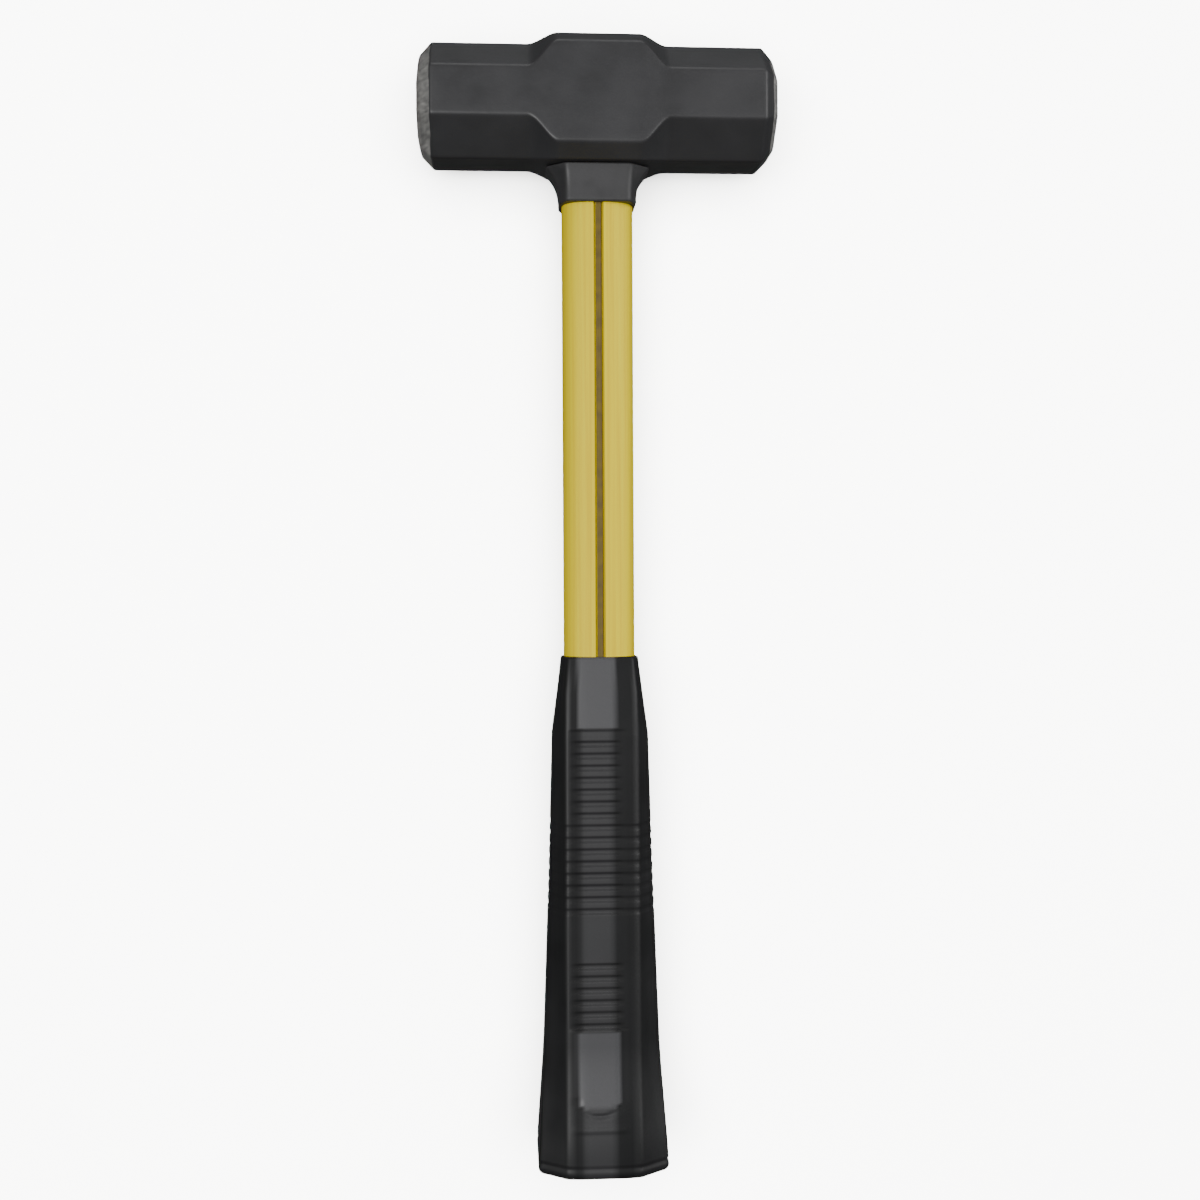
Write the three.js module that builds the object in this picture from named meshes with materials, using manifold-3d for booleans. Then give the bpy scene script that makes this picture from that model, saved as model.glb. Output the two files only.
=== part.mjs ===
// Double-faced short sledge hammer with a glass-fibre handle, lying on its side.
// Millimetres. +Y runs up the handle to the head, X is the striking axis, +Z is up.
// The origin is under the middle of the hammer, on the surface that it lies on.

import * as THREE from 'three';
import { mergeVertices } from 'three/addons/utils/BufferGeometryUtils.js';
import Module from 'manifold-3d';

const wasm = await Module();
wasm.setup();

// Overall
const totalLength = 406;
const tip = totalLength / 2;
const butt = -totalLength / 2;
const layHeight = 20.9;
const fitGap = 0.3;

// Head: an octagonal bar with a taller section around the eye
const headLength = 129;
const armHalf = 20.5;
const armFacetHalf = armHalf * Math.tan(Math.PI / 8);
const bossHalfHeight = 22.3;
const bossTopHalfDepth = 15;
const cheekHalfHeight = 17.5;
const bossFlatHalf = 13.5;
const shoulderEnd = 24.5;
const forgedEdgeRadius = 1.6;
const bevelLength = 4.4;
const bevelInset = 0.79;
const crownLength = 1;
const flatSpot = 0.5;
const headY = tip - bossHalfHeight;

// Eye through the head: waisted, so that the bonded handle can't pull out
const eyeWaistX = 13.2;
const eyeWaistZ = 10.4;
const eyeMouthX = 14.2;
const eyeMouthZ = 11.6;
const epoxyRecess = 0.6;

// Handle
const jacketHalfX = 12.9;
const jacketHalfZ = 9.8;
const coreHalfX = 9.7;
const coreHalfZ = 6.6;
const ovalPower = 2.6;
const grooveWidth = 3.2;
const grooveDepth = 1.6;
const lineThickness = 0.8;
const jacketTop = headY - bossHalfHeight - 0.4;
const jacketBottom = butt + 9;
const coreTop = tip - 1;
const coreBottom = butt + 7;

// Over-strike collar
const collarTop = headY - bossHalfHeight - fitGap;
const collarLength = 13.2;
const collarFootX = 13.9;
const collarHeadX = 18.9;
const collarFootZ = 11.3;
const collarHeadZ = 12.8;
const collarFrontFlat = 11.2;

// Grip
const gripTop = -17.9;
const neckBottom = -46;
const barrelBottom = -156;
const lipHalfX = 13.9;
const neckHalfX = 17.4;
const barrelHalfX = 20.9;
const buttHalfX = 23.9;
const lipHalfZ = 10.8;
const neckHalfZ = 13.4;
const barrelHalfZ = 15.4;
const buttFlareEnd = butt + 16;
const buttEdgeRadius = 3;
const frontFlat = 10.4;
const barrelSideFlat = 0.42;
const buttSideFlat = 0.66;
const ribPitch = 4.27;
const ribGroove = 0.8;
const upperRibTop = -48.9;
const upperRibCount = 15;
const wrappedRibCount = 8;
const lowerRibTop = -128.4;
const lowerRibCount = 6;
const cementThickness = 0.5;
const cementTop = -32;

const forgedSteel = new THREE.MeshStandardMaterial({ color: 0x3a3a3b, roughness: 0.45, metalness: 0.4 });
const yellowResin = new THREE.MeshStandardMaterial({ color: 0xe2c649, roughness: 0.3, metalness: 0 });
const glassFibre = new THREE.MeshStandardMaterial({ color: 0xc9bd8a, roughness: 0.5, metalness: 0 });
const darkResin = new THREE.MeshStandardMaterial({ color: 0x1d1b12, roughness: 0.5, metalness: 0 });
const epoxy = new THREE.MeshStandardMaterial({ color: 0x4b4a45, roughness: 0.5, metalness: 0 });
const blackRubber = new THREE.MeshStandardMaterial({ color: 0x2e2e2f, roughness: 0.7, metalness: 0 });
const blackPlastic = new THREE.MeshStandardMaterial({ color: 0x343435, roughness: 0.6, metalness: 0 });

function ease(value, from, to) {
  const t = THREE.MathUtils.clamp((value - from) / (to - from), 0, 1);
  return t * t * (3 - 2 * t);
}

// Rounds every corner of a convex outline with a short arc of `steps` points.
function roundCorners(corners, radius, steps) {
  const outline = [];
  corners.forEach((corner, index) => {
    const before = corners[(index + corners.length - 1) % corners.length];
    const after = corners[(index + 1) % corners.length];
    const back = before.clone().sub(corner).normalize();
    const ahead = after.clone().sub(corner).normalize();
    const turn = Math.PI - back.angleTo(ahead);
    const reach = radius * Math.tan(turn / 2);
    const start = corner.clone().addScaledVector(back, reach);
    const end = corner.clone().addScaledVector(ahead, reach);
    const arc = new THREE.QuadraticBezierCurve(start, corner, end);
    outline.push(...arc.getPoints(steps - 1));
  });
  return outline;
}

// An oval fuller than an ellipse, from +Z towards +X.
function oval(halfX, halfZ, steps) {
  return Array.from({ length: steps }, (_, index) => {
    const turn = (index / steps) * Math.PI * 2;
    const across = Math.sin(turn);
    const up = Math.cos(turn);
    const x = Math.sign(across) * Math.abs(across) ** (2 / ovalPower) * halfX;
    const z = Math.sign(up) * Math.abs(up) ** (2 / ovalPower) * halfZ;
    return new THREE.Vector2(x, z);
  });
}

// An eight-sided outline with flats front, back and at the sides, from +Z towards +X.
function eightSided(halfX, halfZ, frontFlat, sideFlat, radius) {
  const corners = [
    [frontFlat, halfZ], [halfX, sideFlat], [halfX, -sideFlat], [frontFlat, -halfZ],
    [-frontFlat, -halfZ], [-halfX, -sideFlat], [-halfX, sideFlat], [-frontFlat, halfZ],
  ].map(([x, z]) => new THREE.Vector2(x, z));
  return roundCorners(corners, radius, 4);
}

// Merges shared vertices and drops the flat triangles that a lathe leaves on its axis.
function tidy(geometry) {
  geometry.deleteAttribute('normal');
  geometry.deleteAttribute('uv');
  const merged = mergeVertices(geometry);
  const old = merged.index.array;
  const kept = [];
  for (let i = 0; i < old.length; i += 3) {
    const [a, b, c] = [old[i], old[i + 1], old[i + 2]];
    if (a !== b && b !== c && c !== a) {
      kept.push(a, b, c);
    }
  }
  merged.setIndex(kept);
  merged.computeVertexNormals();
  return merged;
}

// Lathes the stations as circles, then presses each ring into its station's own outline.
// A station is { along, outline, scale }. A scale of 0 closes the end on the axis.
function press(stations, steps, placeVertex) {
  const profile = stations.map(({ along, scale = 1 }) => new THREE.Vector2(scale, along));
  const blank = new THREE.LatheGeometry(profile, steps);
  const position = blank.attributes.position;
  for (let i = 0; i < position.count; i += 1) {
    const { along, outline, scale = 1 } = stations[i % stations.length];
    const ring = Math.floor(i / stations.length) % steps;
    const spot = outline[ring];
    position.setXYZ(i, ...placeVertex(spot.x * scale, spot.y * scale, along));
  }
  return tidy(blank);
}

const alongHandle = (x, z, along) => [x, along, z];
const alongHead = (y, z, along) => [along, y, z];

function extrudeAlongHandle(outline, length) {
  const geometry = new THREE.ExtrudeGeometry(new THREE.Shape(outline), {
    depth: length,
    bevelEnabled: false,
  });
  geometry.rotateX(-Math.PI / 2);
  return tidy(geometry);
}

function toSolid(geometry) {
  return new wasm.Manifold(new wasm.Mesh({
    numProp: 3,
    vertProperties: new Float32Array(geometry.attributes.position.array),
    triVerts: new Uint32Array(geometry.index.array),
  }));
}

function toGeometry(solid) {
  const mesh = solid.getMesh();
  const geometry = new THREE.BufferGeometry();
  geometry.setAttribute('position', new THREE.BufferAttribute(mesh.vertProperties, 3));
  geometry.setIndex(new THREE.BufferAttribute(mesh.triVerts, 1));
  geometry.computeVertexNormals();
  return geometry;
}

function part(name, geometry, material, y = 0) {
  const mesh = new THREE.Mesh(geometry, material);
  mesh.name = name;
  mesh.position.y = y;
  return mesh;
}

// Head

// The head's outline at a distance from its middle, from +Y towards +Z.
function headOutline(distance) {
  const arm = ease(distance, bossFlatHalf, shoulderEnd);
  const height = THREE.MathUtils.lerp(bossHalfHeight, armHalf, arm);
  const depth = THREE.MathUtils.lerp(layHeight, armHalf, arm);
  const topHalf = THREE.MathUtils.lerp(bossTopHalfDepth, armFacetHalf, arm);
  const cheekHalf = THREE.MathUtils.lerp(cheekHalfHeight, armFacetHalf, arm);
  const corners = [
    [height, topHalf], [cheekHalf, depth], [-cheekHalf, depth], [-height, topHalf],
    [-height, -topHalf], [-cheekHalf, -depth], [cheekHalf, -depth], [height, -topHalf],
  ].map(([y, z]) => new THREE.Vector2(y, z));
  return roundCorners(corners, forgedEdgeRadius, 3);
}

function makeHeadBlank() {
  const end = headLength / 2;
  const bevelStart = end - bevelLength - crownLength;
  const shoulderSteps = 8;
  const half = [{ along: bossFlatHalf }];
  for (let i = 1; i <= shoulderSteps; i += 1) {
    half.push({ along: THREE.MathUtils.lerp(bossFlatHalf, shoulderEnd, i / shoulderSteps) });
  }
  half.push({ along: bevelStart });
  half.push({ along: end - crownLength, scale: bevelInset });
  half.push({ along: end, scale: flatSpot });
  half.push({ along: end, scale: 0 });
  const mirrored = half.map(({ along, scale }) => ({ along: -along, scale })).reverse();
  const stations = [...mirrored, ...half];
  stations.forEach((station) => {
    station.outline = headOutline(Math.abs(station.along));
  });
  return press(stations, 24, alongHead);
}

// Half sizes of the eye at a height above the middle of the head, less `gap` all round.
function eyeOutline(height, gap) {
  const open = Math.abs(height / bossHalfHeight) ** 1.5;
  const halfX = THREE.MathUtils.lerp(eyeWaistX, eyeMouthX, open);
  const halfZ = THREE.MathUtils.lerp(eyeWaistZ, eyeMouthZ, open);
  return oval(halfX - gap, halfZ - gap, 40);
}

function eyeStations(low, high, gap) {
  const steps = 6;
  return Array.from({ length: steps + 1 }, (_, index) => {
    const along = THREE.MathUtils.lerp(low, high, index / steps);
    return { along, outline: eyeOutline(along, gap) };
  });
}

function makeHead() {
  const cutReach = bossHalfHeight + 2;
  const walls = eyeStations(-cutReach, cutReach, 0);
  const cutter = [{ ...walls[0], scale: 0 }, ...walls, { ...walls.at(-1), scale: 0 }];
  const blank = toSolid(makeHeadBlank());
  const eye = toSolid(press(cutter, 40, alongHandle));
  return toGeometry(blank.subtract(eye));
}

function makeEyeEpoxy() {
  const low = -bossHalfHeight + fitGap;
  const high = bossHalfHeight - epoxyRecess;
  const outer = eyeStations(low, high, fitGap);
  const hole = oval(coreHalfX + fitGap, coreHalfZ + fitGap, 40);
  const stations = [
    { along: low, outline: hole },
    ...outer,
    { along: high, outline: hole },
    { along: low, outline: hole },
  ];
  return press(stations, 40, alongHandle);
}

// Handle

function makeCore() {
  return extrudeAlongHandle(oval(coreHalfX, coreHalfZ, 32), coreTop - coreBottom);
}

function makeJacket() {
  const length = jacketTop - jacketBottom;
  const outside = toSolid(extrudeAlongHandle(oval(jacketHalfX, jacketHalfZ, 48), length));
  const boreOutline = oval(coreHalfX + fitGap, coreHalfZ + fitGap, 32);
  const bore = extrudeAlongHandle(boreOutline, length + 2);
  bore.translate(0, -1, 0);
  let jacket = outside.subtract(toSolid(bore));
  [1, -1].forEach((side) => {
    const groove = new THREE.BoxGeometry(grooveWidth, length + 2, grooveDepth * 2);
    groove.translate(0, length / 2, side * jacketHalfZ);
    jacket = jacket.subtract(toSolid(tidy(groove)));
  });
  return toGeometry(jacket);
}

// A flat strip of dark resin on the floor of a groove.
function makeLine(side) {
  const length = jacketTop - jacketBottom - 2;
  const strip = new THREE.BoxGeometry(grooveWidth - 2 * fitGap, length, lineThickness);
  const floor = jacketHalfZ - grooveDepth + fitGap;
  strip.translate(0, length / 2 + 1, side * (floor + lineThickness / 2));
  return tidy(strip);
}

function makeCollar() {
  const low = collarTop - collarLength;
  const steps = 6;
  const hole = oval(jacketHalfX + fitGap, jacketHalfZ + fitGap, 32);
  const stations = [{ along: low, outline: hole }];
  for (let i = 0; i <= steps; i += 1) {
    const rise = i / steps;
    const halfX = THREE.MathUtils.lerp(collarFootX, collarHeadX, rise ** 1.6);
    const halfZ = THREE.MathUtils.lerp(collarFootZ, collarHeadZ, rise ** 1.6);
    const outline = eightSided(halfX, halfZ, collarFrontFlat, halfZ * 0.5, 2.6);
    stations.push({ along: low + rise * collarLength, outline });
  }
  stations.push({ along: collarTop, outline: hole });
  stations.push({ along: low, outline: hole });
  return press(stations, 32, alongHandle);
}

// Grip

function gripHalfX(y) {
  if (y > neckBottom) {
    return THREE.MathUtils.lerp(lipHalfX, neckHalfX, ((gripTop - y) / (gripTop - neckBottom)) ** 1.1);
  }
  if (y > barrelBottom) {
    const down = (neckBottom - y) / (neckBottom - barrelBottom);
    return THREE.MathUtils.lerp(neckHalfX, barrelHalfX, down ** 1.15);
  }
  const down = (barrelBottom - y) / (barrelBottom - butt);
  return THREE.MathUtils.lerp(barrelHalfX, buttHalfX, down ** 1.1);
}

function gripHalfZ(y) {
  if (y > neckBottom) {
    return THREE.MathUtils.lerp(lipHalfZ, neckHalfZ, (gripTop - y) / (gripTop - neckBottom));
  }
  const barrel = THREE.MathUtils.mapLinear(y, neckBottom, barrelBottom, neckHalfZ, barrelHalfZ);
  return THREE.MathUtils.lerp(Math.min(barrel, barrelHalfZ), layHeight, ease(y, barrelBottom, buttFlareEnd));
}

function gripOutline(y, inset, sideInset) {
  const halfX = gripHalfX(y) - sideInset;
  const halfZ = gripHalfZ(y) - inset;
  const sideFlat = THREE.MathUtils.lerp(barrelSideFlat, buttSideFlat, ease(y, barrelBottom, buttFlareEnd));
  return eightSided(halfX, halfZ, frontFlat, halfZ * sideFlat, halfZ * 0.25);
}

// Each groove goes down from the surface, across its floor and back up. All cross the front
// and back flats, and the lowest ones of the upper set also run round the sides.
function ribStations(top, count, wrapped) {
  const stations = [];
  for (let i = count - 1; i >= 0; i -= 1) {
    const middle = top - i * ribPitch;
    const side = i >= count - wrapped ? 1 : 0;
    [[-0.3, 0], [-0.15, ribGroove], [0.15, ribGroove], [0.3, 0]].forEach(([offset, depth]) => {
      stations.push({ y: middle + offset * ribPitch, inset: depth, sideInset: depth * side });
    });
  }
  return stations;
}

function makeGrip() {
  const edge = [0, 30, 60, 90].map((degrees) => {
    const turn = THREE.MathUtils.degToRad(degrees);
    const inset = buttEdgeRadius * (1 - Math.sin(turn));
    return { y: butt + buttEdgeRadius * (1 - Math.cos(turn)), inset, sideInset: inset };
  });
  const flare = [12, 16, 22, 28, 34, 40].map((rise) => ({ y: butt + rise }));
  const surface = [
    ...edge,
    ...flare,
    ...ribStations(lowerRibTop, lowerRibCount, 0),
    { y: -124 },
    { y: -115 },
    ...ribStations(upperRibTop, upperRibCount, wrappedRibCount),
    { y: neckBottom },
    { y: -38 },
    { y: -29 },
    { y: gripTop - 0.8 },
    { y: gripTop, inset: 0.5, sideInset: 0.5 },
  ];
  const outside = surface.map(({ y, inset = 0, sideInset = 0 }) => (
    { along: y, outline: gripOutline(y, inset, sideInset) }
  ));
  const snug = oval(jacketHalfX + fitGap, jacketHalfZ + fitGap, 32);
  const wider = cementThickness + 2 * fitGap;
  const wide = oval(jacketHalfX + wider, jacketHalfZ + wider, 32);
  const boreBottom = coreBottom - fitGap;
  const stations = [
    { ...outside[0], scale: 0 },
    ...outside,
    { along: gripTop, outline: snug },
    { along: cementTop + 1, outline: snug },
    { along: cementTop + fitGap, outline: wide },
    { along: boreBottom, outline: wide },
    { along: boreBottom, outline: wide, scale: 0 },
  ];
  return press(stations, 32, alongHandle);
}

function makeCement() {
  const inner = oval(jacketHalfX + fitGap, jacketHalfZ + fitGap, 32);
  const outer = oval(jacketHalfX + fitGap + cementThickness, jacketHalfZ + fitGap + cementThickness, 32);
  return press([
    { along: jacketBottom, outline: inner },
    { along: jacketBottom, outline: outer },
    { along: cementTop, outline: outer },
    { along: cementTop, outline: inner },
    { along: jacketBottom, outline: inner },
  ], 32, alongHandle);
}

// Assembly

const head = new THREE.Group();
head.position.y = headY;
head.add(part('hammer_head', makeHead(), forgedSteel));
head.add(part('eye_epoxy', makeEyeEpoxy(), epoxy));

const handle = new THREE.Group();
handle.add(part('handle_core', makeCore(), glassFibre, coreBottom));
handle.add(part('handle_jacket', makeJacket(), yellowResin, jacketBottom));
handle.add(part('groove_line_front', makeLine(1), darkResin, jacketBottom));
handle.add(part('groove_line_back', makeLine(-1), darkResin, jacketBottom));
handle.add(part('overstrike_collar', makeCollar(), blackPlastic));

const grip = new THREE.Group();
grip.add(part('grip_sleeve', makeGrip(), blackRubber));
grip.add(part('grip_cement', makeCement(), epoxy));

const hammer = new THREE.Group();
hammer.position.z = layHeight;
hammer.add(head, handle, grip);

export default hammer;
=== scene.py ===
import math

import bmesh
import bpy
import numpy as np
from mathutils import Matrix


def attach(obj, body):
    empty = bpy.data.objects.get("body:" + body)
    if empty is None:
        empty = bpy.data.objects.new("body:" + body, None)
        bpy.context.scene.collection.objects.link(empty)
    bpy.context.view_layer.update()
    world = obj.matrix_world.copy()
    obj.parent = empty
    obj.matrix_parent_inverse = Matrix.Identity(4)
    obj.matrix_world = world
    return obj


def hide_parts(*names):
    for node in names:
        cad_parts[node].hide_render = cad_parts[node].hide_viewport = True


# Short sledge hammer lying on its cheek: +Y up the handle, X along the striking axis, Z up.
# Shape sizes in the dictionaries are millimetres, turned to metres when a mesh is made.

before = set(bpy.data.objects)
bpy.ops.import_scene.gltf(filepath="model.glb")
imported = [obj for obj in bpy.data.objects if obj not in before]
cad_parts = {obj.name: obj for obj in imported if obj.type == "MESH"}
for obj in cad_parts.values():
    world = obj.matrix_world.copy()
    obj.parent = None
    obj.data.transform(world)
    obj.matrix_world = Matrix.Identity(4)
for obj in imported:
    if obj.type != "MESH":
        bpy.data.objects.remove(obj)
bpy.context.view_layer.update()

mm = 0.001
overall = {"tip": 203.0, "butt": -203.0, "layHeight": 20.9}


def linearColour(hexCode):
    channels = [int(hexCode[i:i + 2], 16) / 255 for i in (1, 3, 5)]
    linear = [c / 12.92 if c <= 0.04045 else ((c + 0.055) / 1.055) ** 2.4 for c in channels]
    return (*linear, 1.0)


def ease(value, low, high):
    t = np.clip((value - low) / (high - low), 0.0, 1.0)
    return t * t * (3.0 - 2.0 * t)


def mix(a, b, t):
    return a + (b - a) * t


# Closed outline with an arc at every corner and extra points along every flat
def roundedOutline(corners, radius, arcSteps=7, flatSteps=4):
    corners = [np.array(corner, dtype=float) for corner in corners]
    arcs = []
    for i, corner in enumerate(corners):
        back = corners[i - 1] - corner
        ahead = corners[(i + 1) % len(corners)] - corner
        back /= np.linalg.norm(back)
        ahead /= np.linalg.norm(ahead)
        turn = math.pi - math.acos(float(np.dot(back, ahead)))
        reach = radius * math.tan(turn / 2)
        start = corner + back * reach
        end = corner + ahead * reach
        t = np.linspace(0.0, 1.0, arcSteps)[:, None]
        arcs.append((1 - t) ** 2 * start + 2 * t * (1 - t) * corner + t ** 2 * end)
    # points close to both ends of a flat keep its shading flat
    along = [0.05] + list(np.linspace(0.05, 0.95, flatSteps)[1:-1]) + [0.95]
    outline = []
    for i, arc in enumerate(arcs):
        nextStart = arcs[(i + 1) % len(arcs)][0]
        outline.extend(arc)
        outline.extend(mix(arc[-1], nextStart, t) for t in along)
    return np.array(outline)


# Oval fuller than an ellipse, as x and z, from the front towards +X
def ovalOutline(halfX, halfZ, turns, power=2.6):
    across = np.sin(turns)
    up = np.cos(turns)
    x = np.sign(across) * np.abs(across) ** (2 / power) * halfX
    z = np.sign(up) * np.abs(up) ** (2 / power) * halfZ
    return np.stack([x, z], axis=1)


def evenTurns(count):
    return np.arange(count) * 2 * math.pi / count


# Ring of an outline at one height along the handle
def handleRing(outline, y):
    ring = np.empty((len(outline), 3))
    ring[:, 0] = outline[:, 0]
    ring[:, 1] = y
    ring[:, 2] = outline[:, 1] + overall["layHeight"]
    return ring


def loftPiece(name, rings, wrapped=False, sharpAngle=35.0):
    around = len(rings[0])
    points = np.concatenate(rings) * mm
    faces = []
    for row in range(len(rings) if wrapped else len(rings) - 1):
        low = row * around
        high = ((row + 1) % len(rings)) * around
        for i in range(around):
            j = (i + 1) % around
            faces.append((low + i, low + j, high + j, high + i))
    if not wrapped:
        faces.append(tuple(reversed(range(around))))
        faces.append(tuple(range(len(points) - around, len(points))))
    mesh = bpy.data.meshes.new(name)
    mesh.from_pydata([tuple(point) for point in points], [], faces)
    smoothMesh(mesh, sharpAngle)
    piece = bpy.data.objects.new(name, mesh)
    bpy.context.scene.collection.objects.link(piece)
    return piece


def smoothMesh(mesh, sharpAngle):
    edit = bmesh.new()
    edit.from_mesh(mesh)
    bmesh.ops.remove_doubles(edit, verts=edit.verts, dist=1e-7)
    bmesh.ops.recalc_face_normals(edit, faces=edit.faces)
    edit.to_mesh(mesh)
    edit.free()
    mesh.polygons.foreach_set("use_smooth", [True] * len(mesh.polygons))
    mesh.set_sharp_from_angle(angle=math.radians(sharpAngle))
    mesh.update()


# The evaluated mesh replaces the piece's own, and its modifiers go
def applyModifiers(piece, sharpAngle=35.0):
    graph = bpy.context.evaluated_depsgraph_get()
    mesh = bpy.data.meshes.new_from_object(piece.evaluated_get(graph))
    mesh.name = piece.name
    piece.modifiers.clear()
    piece.data = mesh
    smoothMesh(mesh, sharpAngle)


def finishPiece(piece, node, material):
    piece.data.materials.clear()
    piece.data.materials.append(material)
    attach(piece, "root")
    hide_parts(node)


# Adds a node, sets its properties, and fills or links its inputs
def addNode(tree, kind, settings=None, inputs=None):
    node = tree.nodes.new(kind)
    for key, value in (settings or {}).items():
        setattr(node, key, value)
    for key, value in (inputs or {}).items():
        if isinstance(value, bpy.types.NodeSocket):
            tree.links.new(value, node.inputs[key])
        else:
            node.inputs[key].default_value = value
    return node


# The helpers from here on add one node each and return its result socket
def addMath(tree, operation, *values):
    return addNode(tree, "ShaderNodeMath", {"operation": operation}, dict(enumerate(values))).outputs[0]


def addRange(tree, value, source=(0.0, 1.0), target=(0.0, 1.0), blend="LINEAR"):
    return addNode(tree, "ShaderNodeMapRange", {"interpolation_type": blend}, {
        "Value": value,
        "From Min": source[0],
        "From Max": source[1],
        "To Min": target[0],
        "To Max": target[1],
    }).outputs[0]


# The scale is in patches per metre
def addNoise(tree, place, scale, detail, roughness=0.5):
    inputs = {"Vector": place, "Scale": scale, "Detail": detail, "Roughness": roughness}
    return addNode(tree, "ShaderNodeTexNoise", None, inputs).outputs["Fac"]


def addBlend(tree, amount, low, high):
    return addNode(tree, "ShaderNodeMix", None, {0: amount, 2: low, 3: high}).outputs[0]


def addTint(tree, amount, low, high):
    return addNode(tree, "ShaderNodeMix", {"data_type": "RGBA"}, {0: amount, 6: low, 7: high}).outputs[2]


def addBump(tree, strength, distance, height):
    inputs = {"Strength": strength, "Distance": distance, "Height": height}
    return addNode(tree, "ShaderNodeBump", None, inputs).outputs[0]


def addStored(tree, name):
    return addNode(tree, "ShaderNodeAttribute", {"attribute_name": name}).outputs["Fac"]


def startMaterial(name):
    material = bpy.data.materials.new(name)
    material.use_nodes = True
    tree = material.node_tree
    tree.nodes.clear()
    shader = addNode(tree, "ShaderNodeBsdfPrincipled")
    addNode(tree, "ShaderNodeOutputMaterial", None, {"Surface": shader.outputs["BSDF"]})
    place = addNode(tree, "ShaderNodeTexCoord").outputs["Object"]
    return material, tree, shader, place


def feedShader(tree, shader, sources):
    for name, source in sources.items():
        tree.links.new(source, shader.inputs[name])


print("materials")

enamelFinish = {
    "enamel": "#2C2C2D",
    "enamelWorn": "#38383A",
    "steel": "#9A9A98",
    "scaleGrey": "#A2A19D",
    "groundFrom": 59.5,
    "edgeWander": 0.8,
    # enamel kept on the right bevel alone is a painted shade for the darker right end
    "enamelRightShade": 2.6,
    "markScale": (500.0, 900.0, 110.0),
    "brightMetal": (0.15, 0.8),
    "enamelRoughness": (0.38, 0.5),
    "steelRoughness": 0.42,
    "scaleBump": 0.22,
}


# Satin black enamel on a forging: a soft broad sheen on each flat, and bare ground steel
# with coarse wheel marks on the bevels and striking faces
def makeForgedSteel(finish):
    material, tree, shader, place = startMaterial("forgedSteel")
    along = addNode(tree, "ShaderNodeSeparateXYZ", None, {"Vector": place}).outputs["X"]
    outward = addMath(tree, "ABSOLUTE", along)
    # the ground edge wanders by about 0.4 mm, and enamel covers part of the right bevel alone, a painted
    # shade that keeps the right end darker than the left
    wander = addNoise(tree, place, 160.0, 3.0)
    right = addMath(tree, "GREATER_THAN", along, 0.0)
    covered = addMath(tree, "MULTIPLY_ADD", right, -finish["enamelRightShade"] * mm, outward)
    edge = addMath(tree, "MULTIPLY_ADD", wander, finish["edgeWander"] * mm, covered)
    ground = addRange(tree, edge, ((finish["groundFrom"] + 0.3) * mm, (finish["groundFrom"] + 0.6) * mm))
    cloudy = addNoise(tree, place, 55.0, 4.0)
    enamel = addTint(tree, cloudy, linearColour(finish["enamel"]), linearColour(finish["enamelWorn"]))
    # wheel marks run across the end from cheek to cheek
    squeezed = addNode(tree, "ShaderNodeMapping", None, {"Vector": place, "Scale": finish["markScale"]})
    marks = addNoise(tree, squeezed.outputs[0], 1.0, 3.0, 0.6)
    bright = addRange(tree, marks, (0.3, 0.7), finish["brightMetal"])
    steel = addTint(tree, bright, linearColour(finish["scaleGrey"]), linearColour(finish["steel"]))
    # brightest where the wheel cut right through the grey forging scale
    metal = addMath(tree, "MULTIPLY", ground, bright)
    colour = addTint(tree, ground, enamel, steel)
    satin = addRange(tree, cloudy, (0.3, 0.7), finish["enamelRoughness"])
    rough = addBlend(tree, ground, satin, finish["steelRoughness"])
    # hammered forging scale under the enamel, about 3 mm across, with a finer grain in it
    scale = addNoise(tree, place, 320.0, 5.0, 0.55)
    bump = addBump(tree, finish["scaleBump"], 0.3 * mm, addBlend(tree, ground, scale, marks))
    feedShader(tree, shader, {
        "Base Color": colour,
        "Metallic": metal,
        "Roughness": rough,
        "Normal": bump,
    })
    return material


yellowFinish = {
    "resin": "#F8DC00",
    "resinDeep": "#EDCE00",
    "strand": "#FAE410",
    "strandScale": (900.0, 9.0, 900.0),
    "roughness": (0.52, 0.62),
    "sheen": 0.25,
}


# Pigmented resin with glass strands just under a softly shining skin, drawn out along the handle
def makeYellowResin(finish):
    material, tree, shader, place = startMaterial("yellowResin")
    drawn = addNode(tree, "ShaderNodeMapping", None, {"Vector": place, "Scale": finish["strandScale"]})
    strands = addNoise(tree, drawn.outputs[0], 1.0, 5.0, 0.6)
    ramp = addNode(tree, "ShaderNodeValToRGB", None, {"Fac": strands})
    ramp.color_ramp.elements[0].position = 0.33
    ramp.color_ramp.elements[0].color = linearColour(finish["resinDeep"])
    ramp.color_ramp.elements[1].position = 0.68
    ramp.color_ramp.elements[1].color = linearColour(finish["strand"])
    middle = ramp.color_ramp.elements.new(0.5)
    middle.color = linearColour(finish["resin"])
    rough = addRange(tree, addNoise(tree, place, 60.0, 3.0), target=finish["roughness"])
    bump = addBump(tree, 0.08, 0.1 * mm, strands)
    shader.inputs["Specular IOR Level"].default_value = finish["sheen"]
    feedShader(tree, shader, {"Base Color": ramp.outputs["Color"], "Roughness": rough, "Normal": bump})
    return material


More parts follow.
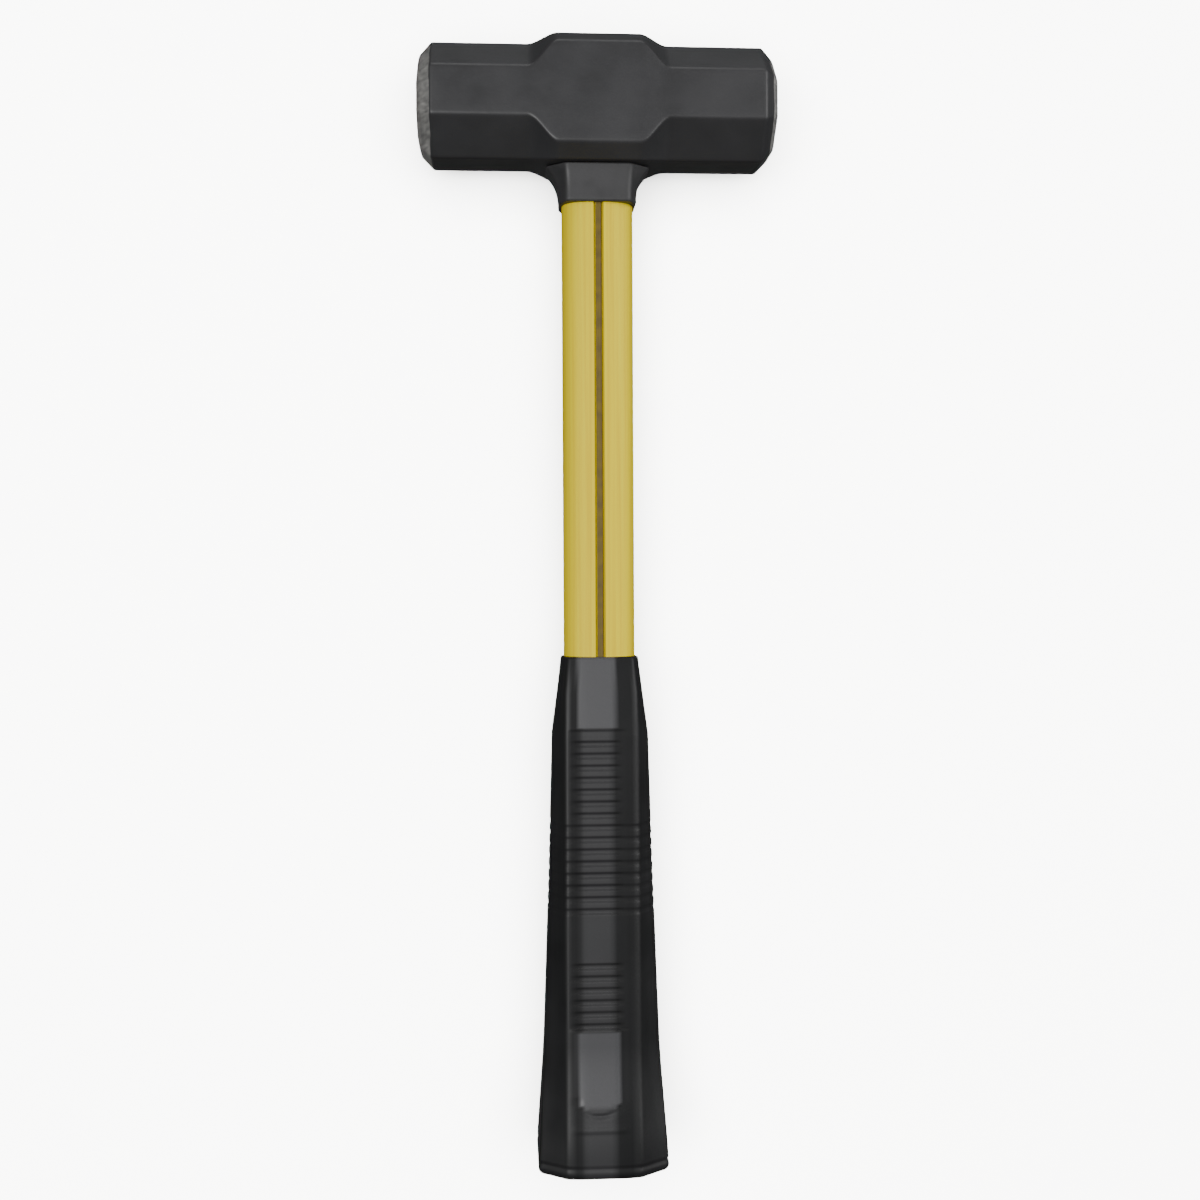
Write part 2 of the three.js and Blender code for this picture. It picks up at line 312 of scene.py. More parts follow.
# What a plain moulded or cast surface needs: two close tones, a roughness range and a grain
def makeMouldedFinish(name, finish):
    material, tree, shader, place = startMaterial(name)
    cloudy = addNoise(tree, place, 1 / (finish["patch"] * mm), 4.0)
    spread = addRange(tree, cloudy, (0.35, 0.65))
    colour = addTint(tree, spread, linearColour(finish["dark"]), linearColour(finish["light"]))
    rough = addRange(tree, spread, target=finish["roughness"])
    grain = addNoise(tree, place, 1 / (finish["grain"] * mm), 3.0, 0.6)
    bump = addBump(tree, finish["bump"], 0.15 * mm, grain)
    if "polishAndPaintedSheen" in finish:
        # panels where the mould was polished come out smoother, and paler: a painted sheen for the light
        # that these flat panels catch
        panel = addStored(tree, "polishAndPaintedSheen")
        colour = addTint(tree, panel, colour, linearColour(finish["polishAndPaintedSheen"]))
        rough = addBlend(tree, panel, rough, finish["polishedRoughness"])
        # strips with an etched texture trap light and lose part of their sheen
        etched = addStored(tree, "etched")
        rough = addBlend(tree, etched, rough, finish["etchedRoughness"])
        sheen = addRange(tree, etched, target=(0.5, finish["etchedSheen"]))
        feedShader(tree, shader, {"Specular IOR Level": sheen})
    feedShader(tree, shader, {"Base Color": colour, "Roughness": rough, "Normal": bump})
    return material


# Black rubber: satin, its sheen broken by a fine moulded grain (made 0.6 mm to stay visible)
rubberFinish = {"dark": "#141415", "light": "#1A1A1B", "roughness": (0.5, 0.58),
                "patch": 18.0, "grain": 0.6, "bump": 0.12,
                # the paler colour of the polished panels is a painted sheen
                "polishAndPaintedSheen": "#48484A", "polishedRoughness": 0.42,
                "etchedSheen": 0.26, "etchedRoughness": 0.66}
# Black over-strike plastic: a touch lighter and duller than the rubber
collarFinish = {"dark": "#323233", "light": "#3A3A3B", "roughness": (0.45, 0.6),
                "patch": 8.0, "grain": 0.7, "bump": 0.15}
# Dark resin in the groove: matt, a brown olive next to the yellow
lineFinish = {"dark": "#5A4A0C", "light": "#6E5C10", "roughness": (0.5, 0.65),
              "patch": 5.0, "grain": 0.8, "bump": 0.2}
# Cured epoxy: dark grey, poured, with small pits
epoxyFinish = {"dark": "#3A3934", "light": "#4C4A43", "roughness": (0.3, 0.5),
               "patch": 4.0, "grain": 0.9, "bump": 0.4}
# Cut glass fibre: straw-coloured, with pale strand ends
fibreFinish = {"dark": "#8F8352", "light": "#C9BD8A", "roughness": (0.5, 0.7),
               "patch": 0.8, "grain": 0.5, "bump": 0.5}

forgedSteel = makeForgedSteel(enamelFinish)
yellowResin = makeYellowResin(yellowFinish)
gripRubber = makeMouldedFinish("gripRubber", rubberFinish)
collarPlastic = makeMouldedFinish("collarPlastic", collarFinish)
darkLine = makeMouldedFinish("darkLine", lineFinish)
bondEpoxy = makeMouldedFinish("bondEpoxy", epoxyFinish)
cutFibre = makeMouldedFinish("cutFibre", fibreFinish)


print("head")

headShape = {
    "length": 129.0,
    "acrossFlats": 41.0,
    "bossHeight": 44.6,
    "bossTopHalfDepth": 15.0,
    "cheekHalfHeight": 17.5,
    "bossFlatHalf": 14.2,
    "shoulderEnd": 25.4,
    "edgeRadius": 2.2,
    "bevelLength": 4.4,
    "bevelInset": 0.79,
    "crownLength": 1.0,
    "flatSpot": 0.5,
    "eyeWaist": (13.2, 10.4),
    "eyeMouth": (14.2, 11.6),
}
headY = overall["tip"] - headShape["bossHeight"] / 2


# Octagon at a distance from the middle: square to the arms, taller round the eye
def headOutline(shape, distance):
    arm = ease(distance, shape["bossFlatHalf"], shape["shoulderEnd"])
    armHalf = shape["acrossFlats"] / 2
    armFacet = armHalf * math.tan(math.pi / 8)
    height = mix(shape["bossHeight"] / 2, armHalf, arm)
    depth = mix(overall["layHeight"], armHalf, arm)
    topHalf = mix(shape["bossTopHalfDepth"], armFacet, arm)
    cheekHalf = mix(shape["cheekHalfHeight"], armFacet, arm)
    quarter = [(height, topHalf), (cheekHalf, depth)]
    lower = [(-y, z) for y, z in reversed(quarter)]
    half = quarter + lower
    corners = half + [(y, -z) for y, z in reversed(half)]
    return roundedOutline(corners, shape["edgeRadius"], arcSteps=6, flatSteps=4)


def headStations(shape):
    end = shape["length"] / 2
    crownStart = end - shape["crownLength"]
    bevelStart = crownStart - shape["bevelLength"]
    stations = [(x, 1.0) for x in np.linspace(0.0, shape["bossFlatHalf"], 4)[1:]]
    stations += [(x, 1.0) for x in np.linspace(shape["bossFlatHalf"], shape["shoulderEnd"], 22)[1:]]
    stations += [(x, 1.0) for x in np.linspace(shape["shoulderEnd"], bevelStart - 1.5, 5)[1:]]
    # the bevel's outer corner is eased over about a millimetre
    for t in np.linspace(0.0, 1.0, 6):
        stations.append((bevelStart - 0.6 + 1.2 * t, 1.0 - (1 - shape["bevelInset"]) * 0.136 * t * t))
    first = stations[-1]
    nearlyAll = (shape["bevelLength"] - 0.3) / shape["bevelLength"]
    last = (crownStart - 0.3, mix(1.0, shape["bevelInset"], nearlyAll))
    for t in np.linspace(0.0, 1.0, 5)[1:]:
        stations.append((mix(first[0], last[0], t), mix(first[1], last[1], t)))
    # slightly crowned striking face, flat in its middle
    for t in np.linspace(0.12, 1.0, 10):
        scale = mix(shape["bevelInset"], shape["flatSpot"], t)
        stations.append((crownStart + shape["crownLength"] * math.sin(t * math.pi / 2), scale))
    for scale in (0.35, 0.2, 0.08):
        stations.append((end, scale))
    return stations


def eyeRings(shape, low, high, gap, turns):
    rings = []
    for height in np.linspace(low, high, 16):
        opening = min(abs(height) / (shape["bossHeight"] / 2), 1.2) ** 1.5
        halfX = mix(shape["eyeWaist"][0], shape["eyeMouth"][0], opening) - gap
        halfZ = mix(shape["eyeWaist"][1], shape["eyeMouth"][1], opening) - gap
        rings.append(handleRing(ovalOutline(halfX, halfZ, turns), headY + height))
    return rings


def makeHead(shape):
    rings = []
    right = headStations(shape)
    left = [(-x, scale) for x, scale in reversed(right)]
    for x, scale in left + [(0.0, 1.0)] + right:
        outline = headOutline(shape, abs(x)) * scale
        ring = np.empty((len(outline), 3))
        ring[:, 0] = x
        ring[:, 1] = outline[:, 0] + headY
        ring[:, 2] = outline[:, 1] + overall["layHeight"]
        rings.append(ring)
    head = loftPiece("forgedHead", rings)
    reach = shape["bossHeight"] / 2 + 2.0
    cutter = loftPiece("eyeCutter", eyeRings(shape, -reach, reach, 0.0, evenTurns(96)))
    cut = head.modifiers.new("eye", "BOOLEAN")
    cut.object = cutter
    cut.operation = "DIFFERENCE"
    cut.solver = "EXACT"
    applyModifiers(head, 28.0)
    bpy.data.objects.remove(cutter)
    return head


forgedHead = makeHead(headShape)
finishPiece(forgedHead, "hammer_head", forgedSteel)


print("eye bond and core")

coreShape = {"halfX": 9.7, "halfZ": 6.6, "top": 202.0, "bottom": -196.0, "edge": 0.4}
bondShape = {"gap": 0.3, "recess": 0.6, "sag": 0.5}


def makeEyeBond(shape, core):
    turns = evenTurns(96)
    half = headShape["bossHeight"] / 2
    outer = eyeRings(headShape, -half + shape["gap"], half - shape["recess"], shape["gap"], turns)
    wall = outer[-1]
    bore = handleRing(ovalOutline(core["halfX"] + 0.3, core["halfZ"] + 0.3, turns), wall[0, 1])
    rings = outer
    # the poured surface dips between the eye's wall and the core
    for t in np.linspace(0.0, 1.0, 7)[1:-1]:
        ring = mix(wall, bore, t)
        ring[:, 1] -= shape["sag"] * math.sin(t * math.pi)
        rings.append(ring)
    rings.append(bore)
    foot = bore.copy()
    foot[:, 1] = outer[0][0, 1]
    rings.append(foot)
    return loftPiece("eyeBond", rings, wrapped=True)


def makeCore(shape):
    turns = evenTurns(64)
    rings = []
    for y, inset in ((shape["bottom"], shape["edge"]), (shape["bottom"] + shape["edge"], 0.0),
                     (shape["top"] - shape["edge"], 0.0), (shape["top"], shape["edge"])):
        rings.append(handleRing(ovalOutline(shape["halfX"] - inset, shape["halfZ"] - inset, turns), y))
    return loftPiece("fibreCore", rings, sharpAngle=30.0)


finishPiece(makeEyeBond(bondShape, coreShape), "eye_epoxy", bondEpoxy)
finishPiece(makeCore(coreShape), "handle_core", cutFibre)


print("handle jacket")

jacketShape = {
    "halfX": 12.9,
    "halfZ": 9.8,
    "top": 158.0,
    "bottom": -194.0,
    "bore": 0.3,
    "grooveHalf": 1.6,
    "grooveDepth": 1.5,
    "grooveEase": 0.55,
}
lineShape = {"halfWidth": 1.05, "floor": 8.5, "top": 9.2, "from": -193.0, "to": 157.0}


# Oval with a soft-edged lengthwise groove front and back
def jacketOutline(shape):
    # points crowd together where the grooves are
    front = np.linspace(-0.18, 0.18, 45)
    side = np.linspace(0.18, math.pi - 0.18, 48)[1:-1]
    turns = np.concatenate([front, side, front + math.pi, side + math.pi])
    outline = ovalOutline(shape["halfX"], shape["halfZ"], turns)
    x = np.abs(outline[:, 0])
    wide = shape["grooveHalf"] + shape["grooveEase"] / 2
    narrow = shape["grooveHalf"] - shape["grooveEase"] / 2
    sunk = (1 - ease(x, narrow, wide)) * shape["grooveDepth"]
    outline[:, 1] -= np.sign(outline[:, 1]) * sunk
    return outline


def makeJacket(shape, core):
    outline = jacketOutline(shape)
    turns = np.arctan2(outline[:, 0] / shape["halfX"], outline[:, 1] / shape["halfZ"])
    bore = ovalOutline(core["halfX"] + shape["bore"], core["halfZ"] + shape["bore"], turns)
    heights = np.linspace(shape["bottom"], shape["top"], 12)
    rings = [handleRing(outline, y) for y in heights]
    rings += [handleRing(bore, y) for y in (shape["top"], shape["bottom"])]
    return loftPiece("yellowJacket", rings, wrapped=True, sharpAngle=50.0)


def makeLine(name, shape, side):
    corners = [(shape["halfWidth"], shape["top"]), (shape["halfWidth"], shape["floor"]),
               (-shape["halfWidth"], shape["floor"]), (-shape["halfWidth"], shape["top"])]
    outline = roundedOutline(corners, 0.2, arcSteps=4, flatSteps=3)
    outline[:, 1] *= side
    rings = [handleRing(outline, y) for y in np.linspace(shape["from"], shape["to"], 12)]
    return loftPiece(name, rings)


finishPiece(makeJacket(jacketShape, coreShape), "handle_jacket", yellowResin)
finishPiece(makeLine("grooveLineFront", lineShape, 1), "groove_line_front", darkLine)
finishPiece(makeLine("grooveLineBack", lineShape, -1), "groove_line_back", darkLine)


print("collar")

collarShape = {
    "length": 13.2,
    "footX": 13.9,
    "headX": 18.9,
    "footZ": 11.3,
    "headZ": 12.8,
    "flare": 2.8,
    "frontFlat": 11.6,
    "cornerRadius": 2.6,
    "lip": 0.5,
}


def eightCorners(halfX, halfZ, frontFlat, sideFlat):
    quarter = [(frontFlat, halfZ), (halfX, sideFlat)]
    half = quarter + [(x, -z) for x, z in reversed(quarter)]
    return half + [(-x, z) for x, z in reversed(half)]


def makeCollar(shape):
    top = headY - headShape["bossHeight"] / 2 - 0.3
    foot = top - shape["length"]
    rings = []
    rises = [0.0, 0.01, 0.03, 0.06] + list(np.linspace(0.1, 0.97, 16)) + [0.99, 1.0]
    for rise in rises:
        wide = rise ** shape["flare"]
        # rounded lip where the collar ends on the handle
        lip = shape["lip"] * (1 - min(rise / 0.06, 1.0)) ** 2 + 0.3 * max(rise - 0.97, 0.0) / 0.03
        halfX = mix(shape["footX"], shape["headX"], wide) - lip
        halfZ = mix(shape["footZ"], shape["headZ"], wide) - lip
        corners = eightCorners(halfX, halfZ, shape["frontFlat"], halfZ * 0.5)
        outline = roundedOutline(corners, shape["cornerRadius"], arcSteps=8, flatSteps=4)
        rings.append(handleRing(outline, foot + rise * shape["length"]))
    outline = rings[0][:, [0, 2]] - np.array([0.0, overall["layHeight"]])
    turns = np.arctan2(outline[:, 0] / shape["footX"], outline[:, 1] / shape["footZ"])
    bore = ovalOutline(jacketShape["halfX"] + 0.25, jacketShape["halfZ"] + 0.25, turns)
    rings += [handleRing(bore, top), handleRing(bore, foot)]
    return loftPiece("collarMoulding", rings, wrapped=True)


finishPiece(makeCollar(collarShape), "overstrike_collar", collarPlastic)


print("grip")

gripShape = {
    "top": -17.9,
    "neckBottom": -46.0,
    "barrelBottom": -156.0,
    "lipHalf": (13.9, 10.8),
    "neckHalf": (17.4, 13.4),
    "barrelHalf": (20.9, 15.4),
    "buttHalfX": 23.7,
    "flareEnd": -196.0,
    "edgeRadius": 3.0,
    "shoulderRadius": 2.0,
    "lipRadius": 0.7,
    "snugRoom": 0.2,
    "snugTo": -31.0,
    "cementRoom": 1.1,
    "frontFlat": 13.2,
    "flatMiddle": 5.5,
    "frontCrown": 0.0106,
    "sideFlat": (0.4, 0.68),
    "frontTurn": -1.7,
    # a weaker painted sheen on the band along the ribs
    "ribBandPaintedSheen": 0.28,
    "recess": 0.45,
    "recessHalf": 9.3,
    "recessFrom": -43.4,
    "recessTo": -151.4,
    "shieldHalf": 8.6,
    "shieldTo": -180.5,
    "shieldCorner": 7.5,
    "shieldLine": 0.5,
    "crossBarY": -185.0,
    "crossBar": 0.3,
    "footLineY": -198.6,
    "footLine": 0.35,
}
gripRibs = {
    "Rib pitch": 4.27,
    "Groove depth": 0.55,
    "Groove floor": 1.0,
    "Groove mouth": 2.6,
    "Upper top": -48.9,
    "Upper count": 15,
    "Wrapped count": 8,
    "Lower top": -128.4,
    "Lower count": 6,
    "Half width": 7.3,
    "Side share": 0.4,
    "Turned": -1.7,
}


def gripHalfX(shape, y):
    if y > shape["neckBottom"]:
        down = (shape["top"] - y) / (shape["top"] - shape["neckBottom"])
        return mix(shape["lipHalf"][0], shape["neckHalf"][0], max(down, 0.0) ** 1.1)
    if y > shape["barrelBottom"]:
        down = (shape["neckBottom"] - y) / (shape["neckBottom"] - shape["barrelBottom"])
        return mix(shape["neckHalf"][0], shape["barrelHalf"][0], down ** 1.15)
    down = (shape["barrelBottom"] - y) / (shape["barrelBottom"] - overall["butt"])
    return mix(shape["barrelHalf"][0], shape["buttHalfX"], down ** 1.1)


def gripHalfZ(shape, y):
    if y > shape["neckBottom"]:
        down = (shape["top"] - y) / (shape["top"] - shape["neckBottom"])
        return mix(shape["lipHalf"][1], shape["neckHalf"][1], max(down, 0.0))
    down = (shape["neckBottom"] - y) / (shape["neckBottom"] - shape["barrelBottom"])
    barrel = mix(shape["neckHalf"][1], shape["barrelHalf"][1], min(down, 1.0))
    flare = ease(-y, -shape["barrelBottom"], -shape["flareEnd"])
    return mix(barrel, overall["layHeight"], flare)


# A shallow line: 1 on its middle, 0 at half its width and beyond
def line(distance, width):
    return 1 - ease(np.abs(distance), width * 0.15, width * 0.5)


# How far the front and back are sunk below the plain grip, in mm
def gripRelief(shape, x, y):
    x = np.abs(x)
    recess = ease(-y, -shape["recessFrom"], -shape["recessFrom"] + 1.2)
    recess *= 1 - ease(-y, -shape["recessTo"] - 1.2, -shape["recessTo"])
    recess *= 1 - ease(x, shape["recessHalf"] - 0.2, shape["recessHalf"] + 0.9)
    # a smooth shield with round lower corners, outlined by a line
    middle = (shape["recessTo"] + shape["shieldTo"]) / 2 + 10.0  # its top runs on out of sight
    halfHeight = middle - shape["shieldTo"]
    corner = shape["shieldCorner"]
    outX = np.maximum(x - (shape["shieldHalf"] - corner), 0.0)
    outY = max(abs(y - middle) - (halfHeight - corner), 0.0)
    distance = np.hypot(outX, outY) - corner
    shield = line(distance, 1.5) if y < shape["recessTo"] + 1.0 else 0.0
    bar = line(y - shape["crossBarY"], 3.0) * (1 - ease(x, 8.4, 9.6))
    return recess * shape["recess"] + shield * shape["shieldLine"] - bar * shape["crossBar"]


def gripRing(shape, y, inset=0.0):
    foot = line(y - shape["footLineY"], 2.0) * shape["footLine"]
    halfX = gripHalfX(shape, y) - inset - foot
    halfZ = gripHalfZ(shape, y) - inset - foot
    flat = min(shape["frontFlat"], halfX * 0.86)
    side = mix(*shape["sideFlat"], ease(-y, -shape["barrelBottom"], -shape["flareEnd"]))
    corners = eightCorners(halfX, halfZ, flat, halfZ * side)
    outline = roundedOutline(corners, shape["shoulderRadius"], arcSteps=8, flatSteps=16)
    x = outline[:, 0]
    z = outline[:, 1]
    # arched front and back: level in the middle, falling away towards both shoulders
    arch = shape["frontCrown"] * np.maximum(np.abs(x) - shape["flatMiddle"], 0.0) ** 2
    arch = np.minimum(arch, shape["frontCrown"] * (flat - shape["flatMiddle"]) ** 2)
    # the moulded features sit a little to one side, as the sleeve went on slightly turned
    turned = x - np.sign(z) * shape["frontTurn"]
    sunk = arch + np.where(np.abs(x) < flat, gripRelief(shape, turned, y), 0.0)
    outline[:, 1] = z - np.sign(z) * sunk * ease(np.abs(z) / halfZ, 0.45, 0.8)
    return handleRing(outline, y)


# Polished panels at the neck and inside the shield outline, paler as a painted sheen, and a weaker painted
# sheen along the ribs
def markFinishes(piece, shape):
    mesh = piece.data
    points = np.empty(len(mesh.vertices) * 3)
    mesh.vertices.foreach_get("co", points)
    x, y, z = points.reshape(-1, 3).T / mm
    z = z - overall["layHeight"]
    across = np.abs(x - np.sign(z) * shape["frontTurn"])
    facing = ease(np.abs(z), 9.0, 9.8)
    neck = ease(y, shape["recessFrom"] - 0.2, shape["recessFrom"] + 0.6)
    neck *= 1 - ease(across, 5.8, 7.6)
    shield = ease(y, shape["shieldTo"] + 1.0, shape["shieldTo"] + 4.0)
    shield *= 1 - ease(y, shape["recessTo"] - 1.0, shape["recessTo"] + 0.2)
    corner = np.clip((shape["shieldTo"] + shape["shieldCorner"] - y) / shape["shieldCorner"], 0.0, 1.0)
    halfWidth = shape["shieldHalf"] - 0.8 - shape["shieldCorner"] * (1 - np.sqrt(1 - corner ** 2))
    shield *= 1 - ease(across, halfWidth - 0.5, halfWidth + 0.3)
    band = shape["ribBandPaintedSheen"] * (1 - ease(across, 3.6, 7.4))
    # etched strips run down both sides of the front and back, inside their shoulders
    etched = ease(across, 4.4, 7.2) * (1 - ease(np.abs(x), 10.6, 11.8))
    etched *= 1 - np.maximum(neck, shield)
    polishAndPaintedSheen = np.maximum(np.maximum(neck, shield), band)
    for name, amount in (("polishAndPaintedSheen", polishAndPaintedSheen), ("etched", etched)):
        layer = mesh.attributes.new(name, "FLOAT", "POINT")
        layer.data.foreach_set("value", amount * facing)


# Heights of the grip's rings, closest together where the ribs are cut
def gripHeights(shape):
    spans = (
        (overall["butt"] + shape["edgeRadius"], -154.0, 0.6),
        (-154.0, -126.0, 0.34),
        (-126.0, -113.0, 0.8),
        (-113.0, -42.0, 0.34),
        (-42.0, shape["top"] - 1.0, 1.0),
    )
    return np.concatenate([np.arange(*span) for span in spans])


def makeGripBlank(shape):
    rings = []
    radius = shape["edgeRadius"]
    for reach in (0.25, 0.5, 0.75):
        flat = gripRing(shape, overall["butt"], radius)
        middle = np.array([0.0, overall["butt"], overall["layHeight"]])
        rings.append(mix(middle, flat, reach))
    for turn in np.linspace(0.0, math.pi / 2, 9)[:-1]:
        y = overall["butt"] + radius * (1 - math.cos(turn))
        rings.append(gripRing(shape, y, radius * (1 - math.sin(turn))))
    rings += [gripRing(shape, y) for y in gripHeights(shape)]
    lip = shape["lipRadius"]
    for turn in np.linspace(0.2, math.pi / 2, 5):
        rings.append(gripRing(shape, shape["top"] - lip * (1 - math.sin(turn)), lip * (1 - math.cos(turn))))
    outline = rings[-1][:, [0, 2]] - np.array([0.0, overall["layHeight"]])
    turns = np.arctan2(outline[:, 0] / shape["lipHalf"][0], outline[:, 1] / shape["lipHalf"][1])
    snug, wide = [ovalOutline(jacketShape["halfX"] + room, jacketShape["halfZ"] + room, turns)
                  for room in (shape["snugRoom"], shape["cementRoom"])]
    step = shape["snugTo"]
    floor = coreShape["bottom"] - 0.3
    bores = ((shape["top"], snug), (step, snug), (step - 0.7, wide), (floor, wide), (floor, wide * 0.5))
    rings += [handleRing(bore, y) for y, bore in bores]
    return loftPiece("gripSleeve", rings, sharpAngle=60.0)


# Cuts evenly spaced cross grooves into a sleeve by pushing its surface in along its normals
def makeRibTree():
    tree = bpy.data.node_groups.new("gripRibGrooves", "GeometryNodeTree")
    tree.interface.new_socket("Geometry", in_out="INPUT", socket_type="NodeSocketGeometry")
    for name in gripRibs:
        kind = "NodeSocketInt" if name.endswith("count") else "NodeSocketFloat"
        tree.interface.new_socket(name, in_out="INPUT", socket_type=kind)
    tree.interface.new_socket("Rubber", in_out="INPUT", socket_type="NodeSocketMaterial")
    tree.interface.new_socket("Geometry", in_out="OUTPUT", socket_type="NodeSocketGeometry")
    given = addNode(tree, "NodeGroupInput").outputs
    place = addNode(tree, "GeometryNodeInputPosition").outputs[0]
    axes = addNode(tree, "ShaderNodeSeparateXYZ", None, {0: place}).outputs
    outward = addMath(tree, "SUBTRACT", axes["Z"], overall["layHeight"] * mm)
    # the front and the back are turned opposite ways
    turned = addMath(tree, "MULTIPLY", addMath(tree, "SIGN", outward), given["Turned"])
    across = addMath(tree, "ABSOLUTE", addMath(tree, "SUBTRACT", axes["X"], turned))
    halfFloor = addMath(tree, "MULTIPLY", given["Groove floor"], 0.5)
    halfMouth = addMath(tree, "MULTIPLY", given["Groove mouth"], 0.5)
    fadeEnd = addMath(tree, "ADD", given["Half width"], 1.0 * mm)
    frontOnly = addRange(tree, across, (given["Half width"], fadeEnd), (1.0, 0.0), "SMOOTHSTEP")
    total = None
    for top, count, wrapped in (("Upper top", "Upper count", "Wrapped count"),
                                ("Lower top", "Lower count", None)):
        down = addMath(tree, "SUBTRACT", given[top], axes["Y"])
        number = addMath(tree, "DIVIDE", down, given["Rib pitch"])
        nearest = addMath(tree, "ROUND", number)
        off = addMath(tree, "ABSOLUTE", addMath(tree, "SUBTRACT", number, nearest))
        distance = addMath(tree, "MULTIPLY", off, given["Rib pitch"])
        profile = addRange(tree, distance, (halfFloor, halfMouth), (1.0, 0.0), "SMOOTHSTEP")
        afterFirst = addMath(tree, "GREATER_THAN", nearest, -0.5)
        last = addMath(tree, "SUBTRACT", given[count], 0.5)
        beforeLast = addMath(tree, "LESS_THAN", nearest, last)
        inside = addMath(tree, "MULTIPLY", afterFirst, beforeLast)
        reach = frontOnly
        if wrapped:
            firstWrapped = addMath(tree, "SUBTRACT", last, given[wrapped])
            allRound = addMath(tree, "GREATER_THAN", nearest, firstWrapped)
            shallow = addMath(tree, "MULTIPLY", allRound, given["Side share"])
            reach = addMath(tree, "MAXIMUM", frontOnly, shallow)
        groove = addMath(tree, "MULTIPLY", addMath(tree, "MULTIPLY", profile, inside), reach)
        total = groove if total is None else addMath(tree, "ADD", total, groove)
    # the bore, near the handle, stays as it is
    radial = addNode(tree, "ShaderNodeCombineXYZ", None, {0: axes["X"], 2: outward}).outputs[0]
    normal = addNode(tree, "GeometryNodeInputNormal").outputs[0]
    leaning = addNode(tree, "ShaderNodeVectorMath", {"operation": "DOT_PRODUCT"},
                      {0: normal, 1: radial}).outputs["Value"]
    total = addMath(tree, "MULTIPLY", total, addMath(tree, "GREATER_THAN", leaning, 0.0))
    depth = addMath(tree, "MULTIPLY", total, given["Groove depth"])
    push = addNode(tree, "ShaderNodeVectorMath", {"operation": "SCALE"},
                   {0: normal, "Scale": addMath(tree, "MULTIPLY", depth, -1.0)}).outputs[0]
    moved = addNode(tree, "GeometryNodeSetPosition", None,
                    {"Geometry": given["Geometry"], "Offset": push}).outputs[0]
    real = addNode(tree, "GeometryNodeRealizeInstances", None, {0: moved}).outputs[0]
    painted = addNode(tree, "GeometryNodeSetMaterial", None,
                      {"Geometry": real, "Material": given["Rubber"]}).outputs[0]
    addNode(tree, "NodeGroupOutput", None, {0: painted})
    return tree


def cutRibs(piece, ribs, material):
    tree = makeRibTree()
    grooves = piece.modifiers.new("grip ribs", "NODES")
    grooves.node_group = tree
    for item in tree.interface.items_tree:
        if item.in_out == "OUTPUT" or item.name == "Geometry":
            continue
        if item.name == "Rubber":
            grooves[item.identifier] = material
        elif item.name.endswith("count") or item.name == "Side share":
            grooves[item.identifier] = ribs[item.name]
        else:
            grooves[item.identifier] = ribs[item.name] * mm
    applyModifiers(piece, 60.0)


gripSleeve = makeGripBlank(gripShape)
markFinishes(gripSleeve, gripShape)
cutRibs(gripSleeve, gripRibs, gripRubber)
finishPiece(gripSleeve, "grip_sleeve", gripRubber)

# the cement layer stays as the plain hidden sleeve that it is
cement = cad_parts["grip_cement"]
cement.data.materials.clear()
cement.data.materials.append(bondEpoxy)


print("studio")

# Each softbox: power in watts, width in metres, degrees from straight up, degrees round from +Y
studio = {
    "floorTone": "#F4F4F2",
    "floorRadius": 2.0,
    "coveRadius": 1.2,
    "coveHeight": 3.0,
    "world": 0.1,
    "distance": 1.5,
    "softboxes": {
        "keyLeft": {"power": 15.0, "width": 0.55, "tilt": 25.0, "round": 270.0},
        "fillRight": {"power": 15.5, "width": 1.1, "tilt": 50.0, "round": 72.0},
        "headEnd": {"power": 4.8, "width": 0.9, "tilt": 75.0, "round": 0.0},
        "overhead": {"power": 0.7, "width": 0.5, "tilt": 0.0, "round": 0.0},
    },
    "tableLight": {"power": 340.0, "width": 2.0, "tilt": 4.0, "round": 315.0},
}


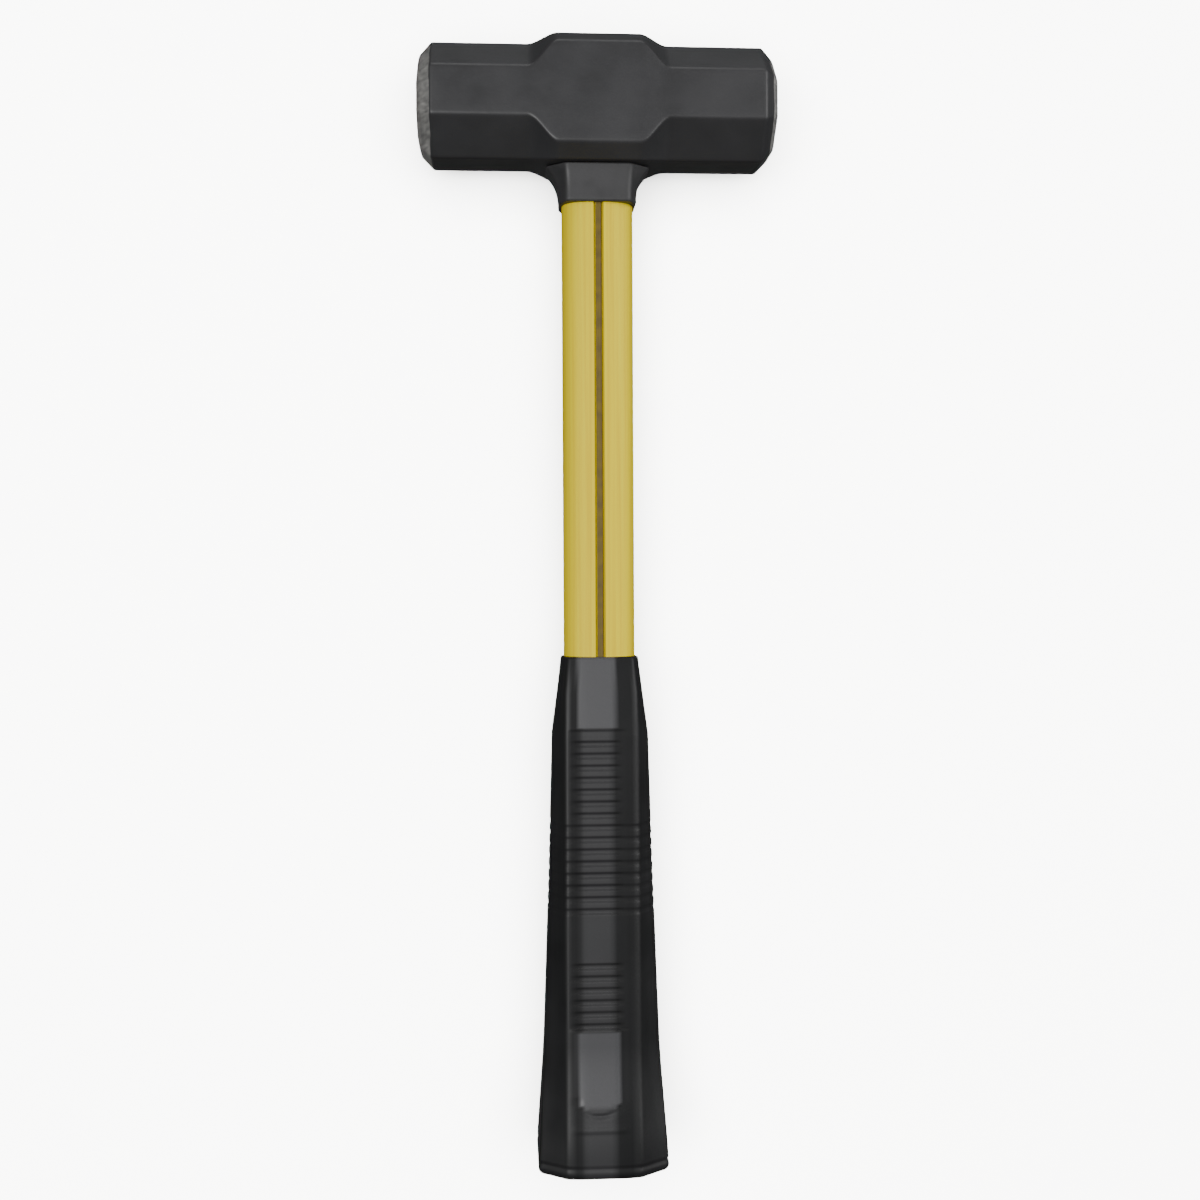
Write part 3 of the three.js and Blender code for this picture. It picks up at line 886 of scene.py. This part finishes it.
# A round paper table whose edge sweeps up into a wall
def makeFloor(settings):
    flat = settings["floorRadius"]
    cove = settings["coveRadius"]
    profile = [(flat * t, 0.0) for t in (0.25, 0.5, 0.75, 1.0)]
    for turn in np.linspace(0.0, math.pi / 2, 13)[1:]:
        profile.append((flat + cove * math.sin(turn), cove * (1 - math.cos(turn))))
    profile.append((flat + cove, settings["coveHeight"]))
    around = 96
    points = [(0.0, 0.0, 0.0)]
    for radius, height in profile:
        for turn in evenTurns(around):
            points.append((radius * math.cos(turn), radius * math.sin(turn), height))
    faces = [(0, 1 + i, 1 + (i + 1) % around) for i in range(around)]
    for row in range(len(profile) - 1):
        low = 1 + row * around
        high = low + around
        for i in range(around):
            j = (i + 1) % around
            faces.append((low + i, high + i, high + j, low + j))
    mesh = bpy.data.meshes.new("studioFloor")
    mesh.from_pydata(points, [], faces)
    mesh.polygons.foreach_set("use_smooth", [True] * len(mesh.polygons))
    floor = bpy.data.objects.new("studioFloor", mesh)
    bpy.context.scene.collection.objects.link(floor)
    material, tree, shader, place = startMaterial("studioPaper")
    shader.inputs["Base Color"].default_value = linearColour(settings["floorTone"])
    shader.inputs["Roughness"].default_value = 0.9
    mesh.materials.append(material)
    # as with black flags under the hammer: the bright table doesn't light its sides
    floor.visible_diffuse = False
    floor.visible_glossy = False
    return floor


def addSoftbox(name, settings, distance):
    data = bpy.data.lights.new(name, "AREA")
    data.shape = "SQUARE"
    data.size = settings["width"]
    data.energy = settings["power"]
    tilt = math.radians(settings["tilt"])
    turn = math.radians(settings["round"])
    light = bpy.data.objects.new(name, data)
    light.location = (distance * math.sin(tilt) * math.sin(turn),
                      distance * math.sin(tilt) * math.cos(turn),
                      distance * math.cos(tilt))
    light.rotation_euler = (-light.location).to_track_quat("-Z", "Y").to_euler()
    light.visible_camera = False
    bpy.context.scene.collection.objects.link(light)
    return light


def makeWorld(strength):
    world = bpy.data.worlds.new("studioWorld")
    bpy.context.scene.world = world
    world.use_nodes = True
    background = world.node_tree.nodes["Background"]
    background.inputs["Color"].default_value = linearColour("#F4F6F8")
    background.inputs["Strength"].default_value = strength


floor = makeFloor(studio)
makeWorld(studio["world"])
for boxName, boxSettings in studio["softboxes"].items():
    addSoftbox(boxName, boxSettings, studio["distance"])
# one more softbox falls on the table alone, and the hammer shades it
tableLight = addSoftbox("tableLight", studio["tableLight"], studio["distance"])
tableOnly = bpy.data.collections.new("tableOnly")
tableOnly.objects.link(floor)
tableLight.light_linking.receiver_collection = tableOnly


# straight down on the hammer, a little to its left, turned slightly with it
cameraSettings = {
    "lens": 43.3,
    "location": (-0.0332, 0.0106, 0.5475),
    "rotation": (-0.87, -3.66, -0.3),
}


def makeCamera(settings):
    data = bpy.data.cameras.new("studioCamera")
    data.lens = settings["lens"]
    data.sensor_width = 36.0
    data.clip_start = 0.01
    camera = bpy.data.objects.new("studioCamera", data)
    camera.location = settings["location"]
    camera.rotation_euler = [math.radians(angle) for angle in settings["rotation"]]
    bpy.context.scene.collection.objects.link(camera)
    bpy.context.scene.camera = camera


makeCamera(cameraSettings)
